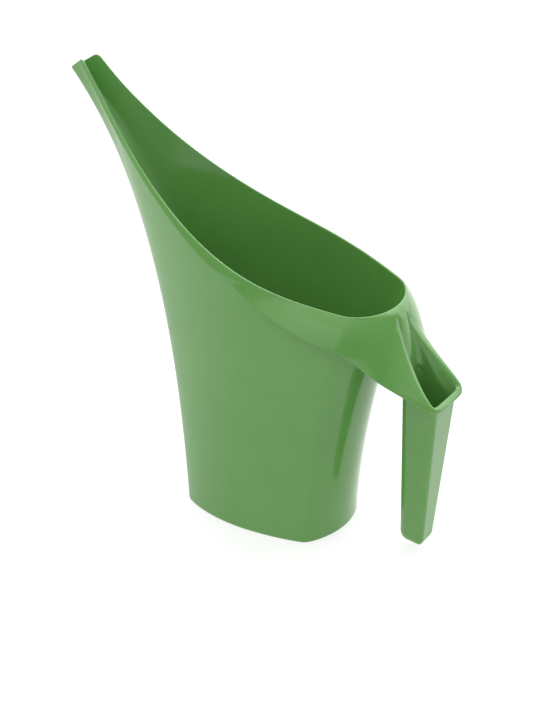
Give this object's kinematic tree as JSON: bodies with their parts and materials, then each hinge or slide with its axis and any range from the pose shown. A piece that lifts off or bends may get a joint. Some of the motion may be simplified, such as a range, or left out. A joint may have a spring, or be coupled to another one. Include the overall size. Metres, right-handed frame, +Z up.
{
  "type": "watering can",
  "caption": "Open-topped jug-shaped watering can with a long open spout, a collar that sweeps back from the rim and a hollow hanging grip.",
  "frame": {"origin": "centre of the foot's flat underside, on the ground", "axes": "+Z up, spout towards -X, handle towards +X, mirror plane at Y = 0"},
  "size_m": [0.3403, 0.1392, 0.3528],
  "materials": {
    "green_plastic": "high-gloss moulded green"
  },
  "bodies": {
    "root": {"floor_panel": "green_plastic", "pot_wall": "green_plastic", "spout": "green_plastic", "rim_bead": "green_plastic", "collar": "green_plastic", "handle_pocket": "green_plastic", "grip": "green_plastic"}
  },
  "joints": []
}
